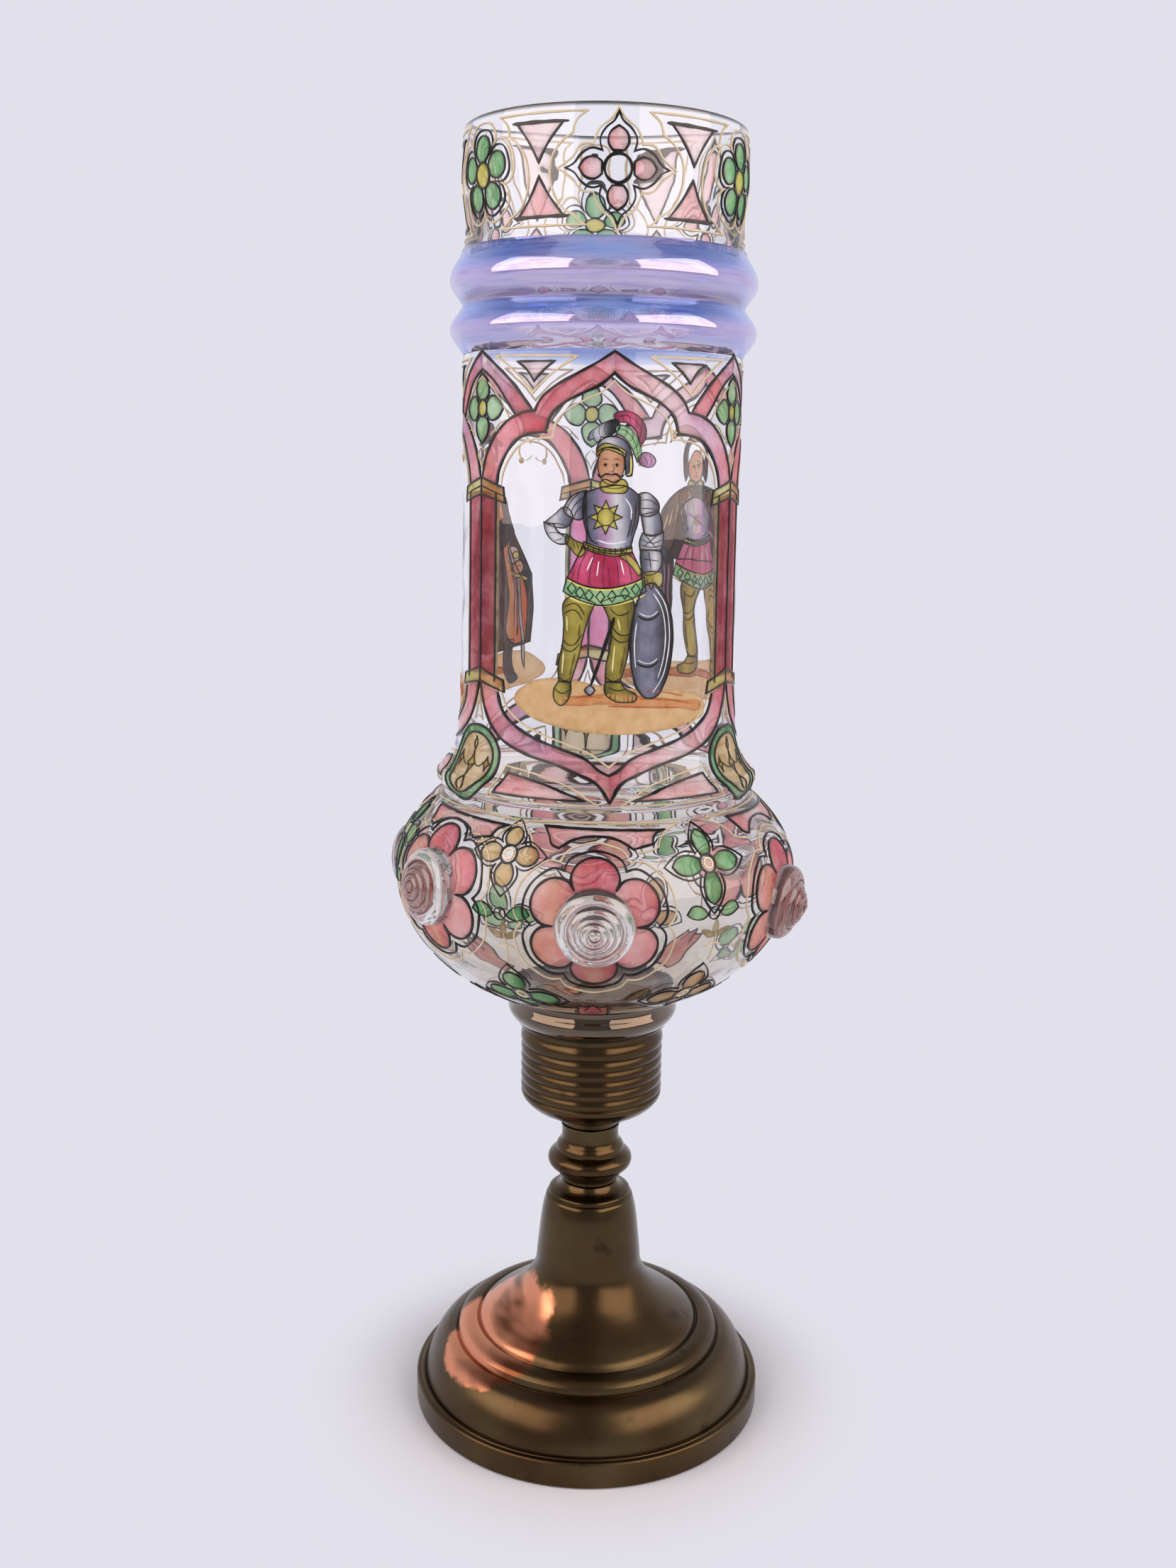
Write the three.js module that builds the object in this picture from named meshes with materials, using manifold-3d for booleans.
// Enamelled glass goblet on a turned brass foot, rim to table 420 mm.
//
// The glass is one blown body: a tall beaker with two hollow rings near the
// rim, a flared shoulder, a round bowl, and a solid peg below it. Six spiral
// prunts are applied to the bowl. The peg is bedded in cement in a ribbed
// brass socket, and a threaded rod with a nut and washer at each end draws
// socket, knop and foot together.
//
// Millimetres, +Z up. The origin is on the table, on the goblet's axis, and
// the front is at -Y. An outline is a list of points (radius, height) that is
// turned round the axis.

import * as THREE from 'three';
import { mergeVertices } from 'three/addons/utils/BufferGeometryUtils.js';
import Module from 'manifold-3d';

// Left open wherever two pieces meet
const clearance = 0.3;

// Foot: rim, lower dome, broad step, upper dome and column, from the table up
const rimRadius = 59.8;
const rimHeight = 8.9;
const rimLedge = 1.5;
const rimEdge = 0.5;
const foldWidth = 1.7;
const foldRise = 0.5;
const lowerDomeHeight = 14.6;
const lowerDomeWidth = 10.4;
const stepHeight = 4.7;
const stepWidth = 7.2;
const grooveDepth = 0.9;
const upperDomeHeight = 19.9;
const columnBaseRadius = 18.4;
const columnHeight = 24.5;
const columnTopRadius = 15.1;
const collarHeight = 6.4;
const footWall = 2.4;
const footWebThickness = 6;

// Knop between the foot and the socket
const neckRadius = 9.7;
const knopRadius = 14.4;
const knopFootHeight = 2;
const knopSwellHeight = 9.2;
const beadRadius = 11.5;
const beadHeight = 2;
const neckHeight = 7.5;

// Ribbed socket that holds the glass
const socketRadius = 24;
const socketWall = 3.3;
const socketFloor = 3;
const socketSeatRadius = 9.2;
const socketFootRadius = 10.4;
const socketFootHeight = 2.2;
const socketConeHeight = 5.6;
const socketRoundHeight = 4.2;
const ribCount = 5;
const ribPitch = 3.4;
const ribDepth = 0.7;
const socketCollarHeight = 7.4;
const socketCollarDraw = 0.8;

// Glass, outside sizes, with heights above the top of the socket
const glassHeight = 283;
const glassWall = 2.2;
const bowlFloorDrop = 2.8;
const pegRadius = 18.5;
const pegChamfer = 0.8;
const ringBottomRadius = 25;
const ringRadius = 27.6;
const ringHeight = 11.2;
const creaseRadius = 28.6;
const bowlRadius = 65.4;
const equatorHeight = 54;
const waistRadius = 50.2;
const waistHeight = 79.3;
const waistBand = 2.8;
const crownRadius = waistRadius + 0.6;
const shoulderRadius = 51.8;
const shoulderRound = 3.6;
const lipWidth = 2.8;
const tubeRadius = 43.6;
const tubeDraw = 0.1;
const flareWidth = 5.2;
const flareReach = 5.5;
const taperWidth = 1.3;
const taperReach = 40;
const rimBandHeight = 35.5;
const swellWidth = 4;
const upperSwellRise = 9;
const swellFall = 7.3;
const swellSharpness = 1.4;
const rimDraw = 0.5;

// Prunts: cones of glass thread wound on the bowl; set by hand, so their spacing
// and their height over the bowl's widest level differ a little
const pruntAngles = [0, 66, 127, 185, 252, 309];
const pruntLifts = [-3, -5, -4, -3, -4, 2.5];
const pruntRadius = 12;
const pruntHeight = 8.2;
const pruntTurns = 3;
const threadDepth = 0.55;
const pruntRoot = 3;
const pruntFullness = 0.8;

// Fixing that draws the pieces together
const rodRadius = 3;
const rodProjection = 2;
const nutAcrossFlats = 10;
const nutHeight = 5;
const washerRadius = 7.5;
const washerThickness = 1.6;
const washerPlay = 0.8;
const cementOverRod = 4;
const cementBelowLip = 2;

// Facets round the axis
const glassSides = 32;
const footSides = 32;
const socketSides = 32;
const knopSides = 20;
const smallSides = 16;
const rodSides = 12;
const pruntSides = 16;
const ringsPerTurn = 3;
const cutterSides = 72;
const cutterSteps = 10;
const bowlSteps = 13;

// Levels of the stack, each piece standing a clearance above the one below
const lowerDomeTop = rimHeight + lowerDomeHeight;
const stepTop = lowerDomeTop + stepHeight;
const upperDomeTop = stepTop + upperDomeHeight;
const columnTop = upperDomeTop + columnHeight;
const footTop = columnTop + collarHeight;
const knopBottom = footTop + clearance;
const knopTop = knopBottom + knopFootHeight + knopSwellHeight + beadHeight + neckHeight;
const socketBottom = knopTop + clearance;
const socketBodyBottom = socketBottom + socketFootHeight + socketConeHeight + socketRoundHeight;
const socketTop = socketBodyBottom + ribCount * ribPitch + socketCollarHeight;
const glassBottom = socketTop + clearance;
const rimTop = glassBottom + glassHeight;

const point = (radius, height) => new THREE.Vector2(radius, height);

// Points of a cubic curve between two outline points, without its first point
function curve(from, pullFrom, pullTo, to, steps) {
  return new THREE.CubicBezierCurve(from, pullFrom, pullTo, to).getPoints(steps).slice(1);
}

// Points of an ellipse's arc, angles in degrees from the outward radius
function arc(centre, width, height, from, to, steps) {
  return Array.from({ length: steps + 1 }, (_, i) => {
    const angle = THREE.MathUtils.degToRad(from + ((to - from) * i) / steps);
    return point(centre.x + width * Math.cos(angle), centre.y + height * Math.sin(angle));
  });
}

// Turns an outline round the vertical axis
function turned(outline, sides) {
  return new THREE.LatheGeometry(outline, sides).rotateX(Math.PI / 2);
}

// Closes an outline that doesn't reach the axis, so that it leaves a bore
function ring(outline) {
  return [...outline, outline[0]];
}

// A flat ring or plain tube
function sleeve(innerRadius, outerRadius, bottom, top, sides) {
  return turned(ring([
    point(innerRadius, bottom),
    point(outerRadius, bottom),
    point(outerRadius, top),
    point(innerRadius, top),
  ]), sides);
}

const wasm = await Module();
wasm.setup();

// A closed geometry as a solid that can be cut
function solid(geometry) {
  const bare = geometry.clone();
  bare.deleteAttribute('normal');
  bare.deleteAttribute('uv');
  const merged = mergeVertices(bare, 1e-4);
  return new wasm.Manifold(new wasm.Mesh({
    numProp: 3,
    vertProperties: new Float32Array(merged.attributes.position.array),
    triVerts: new Uint32Array(merged.index.array),
  }));
}

// A solid back as a geometry
function geometryOf(body) {
  const mesh = body.getMesh();
  const geometry = new THREE.BufferGeometry();
  geometry.setAttribute('position', new THREE.BufferAttribute(mesh.vertProperties, 3));
  geometry.setIndex(new THREE.BufferAttribute(mesh.triVerts, 1));
  geometry.computeVertexNormals();
  return geometry;
}

// Foot: one spun and turned brass shell, open below
const domeRadius = rimRadius - rimLedge - foldWidth;
const stepOuterRadius = domeRadius - lowerDomeWidth;
const stepInnerRadius = stepOuterRadius - stepWidth;
const rodHole = rodRadius + clearance;

// The fractions place the handles of the foot's curves within each step of it
function footGeometry() {
  const rimFoot = point(rimRadius - rimEdge, 0);
  const domeFoot = point(domeRadius, rimHeight + rimEdge);
  const domeTop = point(stepOuterRadius, lowerDomeTop);
  const upperDomeFoot = point(stepInnerRadius - 2 * grooveDepth, stepTop + grooveDepth);
  const columnFoot = point(columnBaseRadius, upperDomeTop);
  const columnEnd = point(columnTopRadius, columnTop);
  const stepFoot = point(stepOuterRadius - grooveDepth, lowerDomeTop + 0.6 * grooveDepth);
  const fold = point(domeRadius + foldWidth / 2, rimHeight);
  const shoulder = point(columnTopRadius - 1.3, columnTop - 0.3);
  const ringMiddle = point(shoulder.x - 0.6, columnTop + 0.4 * collarHeight);
  const ringEnd = point(ringMiddle.x, ringMiddle.y + 0.7);

  const outside = [
    rimFoot,
    point(rimRadius, rimEdge),
    point(rimRadius, rimHeight - rimEdge),
    point(rimRadius - rimEdge, rimHeight),
    // A fine raised fold runs round the foot of the dome
    ...arc(fold, 0.45 * foldWidth, foldRise, 10, 170, 4),
    domeFoot,
    ...curve(
      domeFoot,
      point(domeRadius - 0.14 * lowerDomeWidth, rimHeight + 0.5 * lowerDomeHeight),
      point(domeRadius - 0.44 * lowerDomeWidth, lowerDomeTop - 0.05 * lowerDomeHeight),
      domeTop,
      5,
    ),
    point(stepOuterRadius - grooveDepth, lowerDomeTop - grooveDepth / 2),
    stepFoot,
    ...curve(
      stepFoot,
      point(stepOuterRadius - 0.8 * grooveDepth, lowerDomeTop + 0.75 * stepHeight),
      point(stepInnerRadius + 0.45 * stepWidth, stepTop),
      point(stepInnerRadius, stepTop),
      4,
    ),
    point(stepInnerRadius - grooveDepth, stepTop - grooveDepth),
    upperDomeFoot,
    ...curve(
      upperDomeFoot,
      point(stepInnerRadius - 0.3 * (stepInnerRadius - columnBaseRadius), stepTop + 0.26 * upperDomeHeight),
      point(columnBaseRadius + 0.14 * (stepInnerRadius - columnBaseRadius), stepTop + 0.5 * upperDomeHeight),
      columnFoot,
      7,
    ),
    ...curve(
      columnFoot,
      point(columnBaseRadius - 1.3, upperDomeTop + 0.45 * columnHeight),
      point(columnTopRadius + 1.7, columnTop - 0.22 * columnHeight),
      columnEnd,
      6,
    ),
    // A rounded shoulder and one ring above it close the column
    ...arc(shoulder, columnTopRadius - shoulder.x, 0.3 * collarHeight, 12, 65, 3),
    point(shoulder.x, columnTop + 0.27 * collarHeight),
    ...arc(ringMiddle, 0.8, 0.7, -30, 60, 3),
    ...curve(
      ringEnd,
      point(ringEnd.x - 2.2, ringEnd.y + 0.3),
      point(neckRadius - 0.1, footTop - 1.4),
      point(neckRadius - 0.4, footTop),
      4,
    ),
    point(rodHole, footTop),
  ];

  const webBottom = footTop - footWebThickness;
  const seatRadius = washerRadius + washerPlay;
  const inside = [
    point(rodHole, webBottom),
    point(seatRadius, webBottom),
    point(columnTopRadius - footWall, Math.min(columnTop, webBottom) - 3),
    point(columnBaseRadius - footWall, upperDomeTop),
    point(columnBaseRadius + 0.12 * (stepInnerRadius - columnBaseRadius), stepTop + 0.36 * upperDomeHeight),
    point(stepInnerRadius - 2 * footWall, stepTop - footWall),
    point(stepOuterRadius - footWall, lowerDomeTop - 1.4 * footWall),
    point(domeRadius - 0.5 * lowerDomeWidth - footWall, rimHeight + 0.55 * lowerDomeHeight),
    point(domeRadius - footWall, rimHeight - footWall / 2),
    point(rimRadius - rimLedge - footWall, rimHeight - footWall),
    point(rimRadius - rimLedge - footWall, 0),
  ];
  return turned(ring([...outside, ...inside]), footSides);
}

// Knop: a turned brass baluster with a bead and a waisted neck
function knopGeometry() {
  const swellBottom = knopBottom + knopFootHeight;
  const swellTop = swellBottom + knopSwellHeight;
  const beadTop = swellTop + beadHeight;
  const widest = swellBottom + 0.6 * knopSwellHeight;
  const swell = knopRadius - neckRadius;
  return turned(ring([
    point(rodHole, knopBottom),
    point(neckRadius - 0.5, knopBottom),
    point(neckRadius + 0.1, knopBottom + 0.3 * knopFootHeight),
    point(neckRadius - 0.2, knopBottom + 0.7 * knopFootHeight),
    point(neckRadius + 0.1 * swell, swellBottom),
    point(neckRadius + 0.65 * swell, swellBottom + 0.3 * knopSwellHeight),
    ...arc(point(neckRadius + 0.5 * swell, widest), 0.5 * swell, 0.3 * knopSwellHeight, -50, 60, 4),
    point(beadRadius, swellTop),
    ...arc(point(beadRadius - 0.5, swellTop + 0.5 * beadHeight), 0.5, 0.5 * beadHeight, -30, 70, 2),
    ...curve(
      point(neckRadius + 0.7, beadTop),
      point(neckRadius - 0.1, beadTop + 0.25 * neckHeight),
      point(neckRadius - 0.3, beadTop + 0.7 * neckHeight),
      point(neckRadius + 0.4, knopTop),
      4,
    ),
    point(rodHole, knopTop),
  ]), knopSides);
}

// Socket: a brass cup with turned ribs, bored in its floor for the rod
const socketBore = socketRadius - socketWall;
const socketFloorTop = socketBottom + socketFootHeight + socketFloor;
const socketShoulder = socketBodyBottom - socketRoundHeight + socketFloor;

function socketGeometry() {
  const coneTop = socketBottom + socketFootHeight + socketConeHeight;
  const collarBottom = socketTop - socketCollarHeight;
  const crest = socketRadius - 0.15;
  const outside = [
    point(socketFootRadius - 0.6, socketBottom),
    point(socketFootRadius, socketBottom + socketFootHeight),
    ...curve(
      point(socketRadius - 3, coneTop),
      point(socketRadius - 1.2, coneTop + 0.3 * socketRoundHeight),
      point(crest, coneTop + 0.6 * socketRoundHeight),
      point(crest, socketBodyBottom),
      3,
    ),
    // Each rib is a shallow round between two fine grooves
    ...Array.from({ length: ribCount }).flatMap((_, i) => {
      const bottom = socketBodyBottom + i * ribPitch;
      return [
        point(socketRadius - ribDepth, bottom + 0.12 * ribPitch),
        point(crest, bottom + 0.4 * ribPitch),
        point(crest, bottom + 0.78 * ribPitch),
      ];
    }),
    point(socketRadius - ribDepth, collarBottom + 0.12 * ribPitch),
    point(socketRadius, collarBottom + 0.22 * socketCollarHeight),
    point(socketRadius, collarBottom + 0.4 * socketCollarHeight),
    point(socketRadius - socketCollarDraw, collarBottom + 0.78 * socketCollarHeight),
    point(socketRadius - socketCollarDraw, socketTop),
  ];
  const inside = [
    point(socketBore, socketTop),
    point(socketBore, socketShoulder),
    point(socketSeatRadius, socketFloorTop),
    point(rodHole, socketFloorTop),
    point(rodHole, socketBottom),
  ];
  return turned(ring([...outside, ...inside]), socketSides);
}

// Fixing: a washer and nut on the socket's floor and under the foot's web
const washerHole = rodHole + clearance;
const upperWasherBottom = socketFloorTop + clearance;
const upperNutBottom = upperWasherBottom + washerThickness + clearance;
const rodTop = upperNutBottom + nutHeight + rodProjection;
const lowerWasherTop = footTop - footWebThickness - clearance;
const lowerNutTop = lowerWasherTop - washerThickness - clearance;
const rodBottom = lowerNutTop - nutHeight - rodProjection;

// Glass: levels on the outside, above the socket. The peg reaches down to the
// cement that covers the rod
const pocketTop = rodTop + clearance;
const pegBottom = pocketTop + cementOverRod + clearance;
const creaseLevel = glassBottom + ringHeight;
const equatorLevel = glassBottom + equatorHeight;
const waistLevel = glassBottom + waistHeight;
const lipRise = shoulderRound * Math.sin(Math.PI / 3);
const lipLevel = waistLevel + waistBand + lipRise;
const flareLevel = lipLevel + lipRise;
const upperSwellLevel = rimTop - rimBandHeight - upperSwellRise;
const lowerSwellLevel = upperSwellLevel - 2 * swellFall;
const swellsBottom = lowerSwellLevel - swellFall;

// Half height of the bowl's ellipse that passes through a radius at a distance from its equator
function ellipseHeight(distance, radius) {
  return distance / Math.sqrt(1 - (radius / bowlRadius) ** 2);
}
const bowlDepth = ellipseHeight(equatorLevel - creaseLevel, creaseRadius);
const bowlCrown = ellipseHeight(waistLevel - equatorLevel, crownRadius);

// Radius of the bowl's outside at a height
function bowlRadiusAt(height) {
  const reach = height < equatorLevel ? bowlDepth : bowlCrown;
  return bowlRadius * Math.sqrt(1 - ((height - equatorLevel) / reach) ** 2);
}

// Radius of the beaker's outside above the shoulder, rings apart
function tubeRadiusAt(height) {
  const rise = height - flareLevel;
  return tubeRadius - tubeDraw
    + flareWidth * Math.exp(-rise / flareReach)
    + taperWidth * Math.exp(-rise / taperReach);
}

// A hollow ring blown into the beaker, from its lower edge to its upper one
function swell(level, fall, rise, wall, steps) {
  return Array.from({ length: steps + 1 }, (_, i) => {
    const offset = -fall + ((fall + rise) * i) / steps;
    const share = Math.abs(offset) / (offset < 0 ? fall : rise);
    const height = swellWidth * Math.cos((share * Math.PI) / 2) ** swellSharpness;
    return point(tubeRadius - wall + height, level + offset);
  });
}

// The beaker from the shoulder to the rings; the power makes the steps finer
// towards the flare, where the outline turns
function beaker(wall, steps) {
  return Array.from({ length: steps + 1 }, (_, i) => {
    const height = flareLevel + (swellsBottom - flareLevel - 1) * (i / steps) ** 2.6;
    return point(tubeRadiusAt(height) - wall, height);
  });
}

function glassGeometry() {
  const creaseAngle = -Math.acos(creaseRadius / bowlRadius);
  const crownAngle = Math.acos(crownRadius / bowlRadius);
  const outside = [
    point(0, pegBottom),
    point(pegRadius - pegChamfer, pegBottom),
    point(pegRadius, pegBottom + pegChamfer),
    point(pegRadius, glassBottom),
    point(ringBottomRadius, glassBottom),
    ...curve(
      point(ringBottomRadius, glassBottom),
      point(ringRadius - 0.4, glassBottom + 0.15 * ringHeight),
      point(ringRadius, glassBottom + 0.5 * ringHeight),
      point(ringRadius + 0.3, creaseLevel - 0.5),
      4,
    ),
    ...Array.from({ length: bowlSteps + 1 }, (_, i) => {
      // Heights follow the ellipse's own angle, so that the facets stay even
      const angle = creaseAngle + ((crownAngle - creaseAngle) * i) / bowlSteps;
      const reach = angle < 0 ? bowlDepth : bowlCrown;
      return point(bowlRadius * Math.cos(angle), equatorLevel + reach * Math.sin(angle));
    }),
    point(waistRadius, waistLevel + 0.3),
    point(waistRadius, waistLevel + waistBand),
    ...arc(point(shoulderRadius - lipWidth, lipLevel), lipWidth, shoulderRound, -60, 50, 4),
    ...beaker(0, 9),
    ...swell(lowerSwellLevel, swellFall, swellFall, 0, 6),
    ...swell(upperSwellLevel, swellFall, upperSwellRise, 0, 6).slice(1),
    point(tubeRadius, rimTop - 0.4 * rimBandHeight),
    point(tubeRadius - rimDraw, rimTop - 0.5),
    point(tubeRadius - rimDraw - 0.5, rimTop),
  ];
  const innerBowl = bowlRadius - glassWall;
  const bowlFloor = creaseLevel - bowlFloorDrop;
  const inside = [
    point(tubeRadius - glassWall, rimTop),
    point(tubeRadius - glassWall, rimTop - rimBandHeight),
    ...swell(upperSwellLevel, swellFall, upperSwellRise, glassWall, 4).reverse().slice(1),
    ...swell(lowerSwellLevel, swellFall, swellFall, glassWall, 4).reverse().slice(1),
    ...beaker(glassWall, 5).reverse(),
    ...[40, 20, 0, -20, -40, -58].map((degrees) => {
      const angle = THREE.MathUtils.degToRad(degrees);
      const reach = angle < 0 ? equatorLevel - bowlFloor : bowlCrown - glassWall;
      return point(innerBowl * Math.cos(angle), equatorLevel + reach * Math.sin(angle));
    }),
    point(0.32 * innerBowl, bowlFloor + 1.6),
    point(0, bowlFloor),
  ];
  return turned([...outside, ...inside], glassSides);
}

// Cement between the peg and the socket, with a pocket round the upper nut
function cementGeometry() {
  const pocketRadius = washerRadius + washerPlay;
  const outerRadius = socketBore - clearance;
  const drop = (socketShoulder - socketFloorTop) / (socketBore - socketSeatRadius);
  const underside = (radius) => socketFloorTop + 2 * clearance + drop * Math.max(radius - socketSeatRadius, 0);
  const cementTop = socketTop - cementBelowLip;
  return turned([
    point(0, pocketTop),
    point(pocketRadius, pocketTop),
    point(pocketRadius, underside(pocketRadius)),
    point(socketSeatRadius, underside(socketSeatRadius)),
    point(outerRadius, underside(outerRadius)),
    point(outerRadius, cementTop),
    point(pegRadius + clearance, cementTop),
    point(pegRadius + clearance, pegBottom - clearance),
    point(0, pegBottom - clearance),
  ], socketSides);
}

// Prunt on the front of the bowl, at a lift from its widest level: a spiral of
// thread as a height over a round base, with its root cut to the bowl
function pruntGeometry(lift) {
  const rings = ringsPerTurn * pruntTurns + 1;
  const sides = pruntSides;
  const positions = [0, 0, pruntHeight];
  const indices = [];
  for (let i = 1; i <= rings; i += 1) {
    const share = i / rings;
    for (let k = 0; k < sides; k += 1) {
      const turn = k / sides;
      const wave = Math.cos(2 * Math.PI * (pruntTurns * share - turn));
      const cone = pruntHeight * (1 - share) ** pruntFullness;
      const height = cone + threadDepth * wave * Math.sin(Math.PI * share);
      const radius = pruntRadius * share;
      positions.push(radius * Math.cos(2 * Math.PI * turn), radius * Math.sin(2 * Math.PI * turn), height);
    }
  }
  for (let k = 0; k < sides; k += 1) {
    const turn = (2 * Math.PI * k) / sides;
    positions.push(pruntRadius * Math.cos(turn), pruntRadius * Math.sin(turn), -pruntRoot);
  }
  positions.push(0, 0, -pruntRoot);
  const vertex = (i, k) => 1 + (i - 1) * sides + (k % sides);
  const last = rings + 1;
  for (let k = 0; k < sides; k += 1) {
    indices.push(0, vertex(1, k), vertex(1, k + 1));
    for (let i = 1; i < last; i += 1) {
      indices.push(vertex(i, k), vertex(i + 1, k), vertex(i + 1, k + 1));
      indices.push(vertex(i, k), vertex(i + 1, k + 1), vertex(i, k + 1));
    }
    indices.push(vertex(last, k), 1 + last * sides, vertex(last, k + 1));
  }
  const geometry = new THREE.BufferGeometry();
  geometry.setAttribute('position', new THREE.Float32BufferAttribute(positions, 3));
  geometry.setIndex(indices);

  // The prunt stands square to the bowl
  const level = equatorLevel + lift;
  const radius = bowlRadiusAt(level);
  const reach = lift < 0 ? bowlDepth : bowlCrown;
  const tilt = Math.atan2(-lift / reach ** 2, radius / bowlRadius ** 2);
  geometry.rotateX(Math.PI / 2 + tilt);
  geometry.translate(0, -radius, level);

  const span = 3 * pruntRadius;
  const cutter = turned([
    point(0, level - span / 2),
    ...Array.from({ length: cutterSteps + 1 }, (_, i) => {
      const height = level - span / 2 + (span * i) / cutterSteps;
      return point(bowlRadiusAt(height) + clearance, height);
    }),
    point(0, level + span / 2),
  ], cutterSides);
  return geometryOf(solid(geometry).subtract(solid(cutter)));
}

// Fixing: hexagon nut with a plain bore
function nutGeometry() {
  const corner = nutAcrossFlats / 2 / Math.cos(Math.PI / 6);
  const outline = new THREE.Shape(Array.from({ length: 6 }, (_, i) => point(
    corner * Math.cos((i * Math.PI) / 3),
    corner * Math.sin((i * Math.PI) / 3),
  )));
  outline.holes.push(new THREE.Path().absarc(0, 0, rodHole, 0, 2 * Math.PI, true));
  return new THREE.ExtrudeGeometry(outline, { depth: nutHeight, bevelEnabled: false, curveSegments: rodSides });
}

const brass = new THREE.MeshStandardMaterial({ color: 0x5a4426, metalness: 1, roughness: 0.35 });
const glass = new THREE.MeshStandardMaterial({
  color: 0xdfe3ec, metalness: 0, roughness: 0.05, transparent: true, opacity: 0.35,
});
const pinkGlass = new THREE.MeshStandardMaterial({
  color: 0xd9b4bd, metalness: 0, roughness: 0.08, transparent: true, opacity: 0.5,
});
const plaster = new THREE.MeshStandardMaterial({ color: 0xd8d2c4, metalness: 0, roughness: 0.9 });
const steel = new THREE.MeshStandardMaterial({ color: 0x8f9296, metalness: 1, roughness: 0.4 });

function named(name, geometry, material) {
  const mesh = new THREE.Mesh(geometry, material);
  mesh.name = name;
  return mesh;
}

const goblet = new THREE.Group();
goblet.add(named('foot_shell', footGeometry(), brass));
goblet.add(named('knop_stem', knopGeometry(), brass));
goblet.add(named('socket_cup', socketGeometry(), brass));
goblet.add(named('glass_body', glassGeometry(), glass));
goblet.add(named('cement_bed', cementGeometry(), plaster));

pruntAngles.forEach((angle, i) => {
  const mesh = named(`prunt_${i + 1}`, pruntGeometry(pruntLifts[i]), pinkGlass);
  mesh.rotation.z = THREE.MathUtils.degToRad(angle);
  goblet.add(mesh);
});

goblet.add(named(
  'upper_washer',
  sleeve(washerHole, washerRadius, upperWasherBottom, upperWasherBottom + washerThickness, smallSides),
  steel,
));
goblet.add(named(
  'lower_washer',
  sleeve(washerHole, washerRadius, lowerWasherTop - washerThickness, lowerWasherTop, smallSides),
  steel,
));
const nut = nutGeometry();
for (const [name, bottom] of [['upper_nut', upperNutBottom], ['lower_nut', lowerNutTop - nutHeight]]) {
  const mesh = named(name, nut, steel);
  mesh.position.z = bottom;
  goblet.add(mesh);
}
const rod = named(
  'tie_rod',
  new THREE.CylinderGeometry(rodRadius, rodRadius, rodTop - rodBottom, rodSides).rotateX(Math.PI / 2),
  steel,
);
rod.position.z = (rodTop + rodBottom) / 2;
goblet.add(rod);

export default goblet;
